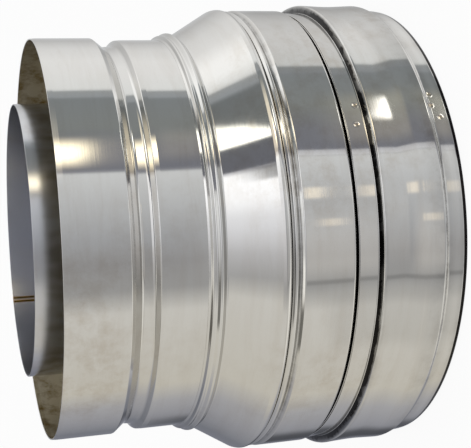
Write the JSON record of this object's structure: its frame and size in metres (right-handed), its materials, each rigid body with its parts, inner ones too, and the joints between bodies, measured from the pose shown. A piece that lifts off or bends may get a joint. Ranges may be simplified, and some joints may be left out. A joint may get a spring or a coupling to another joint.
{
  "type": "double-wall flue reducer",
  "caption": "Twin-wall insulated flue reducer: stainless liner and casing step from a small flue up to a large one, with mineral wool between and a coupling ring at the large end.",
  "frame": {"origin": "centre of the large end's rim, on the flue axis, at the level that the part stands on", "axes": "+Z along the flue axis, from the large end up to the small end; the picture is taken from -Y"},
  "size_m": [0.2152, 0.2152, 0.1749],
  "materials": {
    "casing_steel": "bright annealed stainless steel sheet, polished",
    "liner_steel": "cold rolled stainless steel sheet, dull",
    "ring_steel": "pressed stainless steel sheet, dull",
    "mineral_wool": "matted brown-green mineral wool"
  },
  "bodies": {
    "root": {"coupling_ring": "casing_steel", "large_shell": "casing_steel", "casing_cone": "casing_steel", "small_collar": "casing_steel", "liner_small_tube": "liner_steel", "liner_cone": "liner_steel", "liner_large_tube": "liner_steel", "small_end_ring": "ring_steel", "large_end_ring": "ring_steel", "wool_large": "mineral_wool", "wool_cone": "mineral_wool", "wool_small": "mineral_wool"}
  },
  "joints": []
}
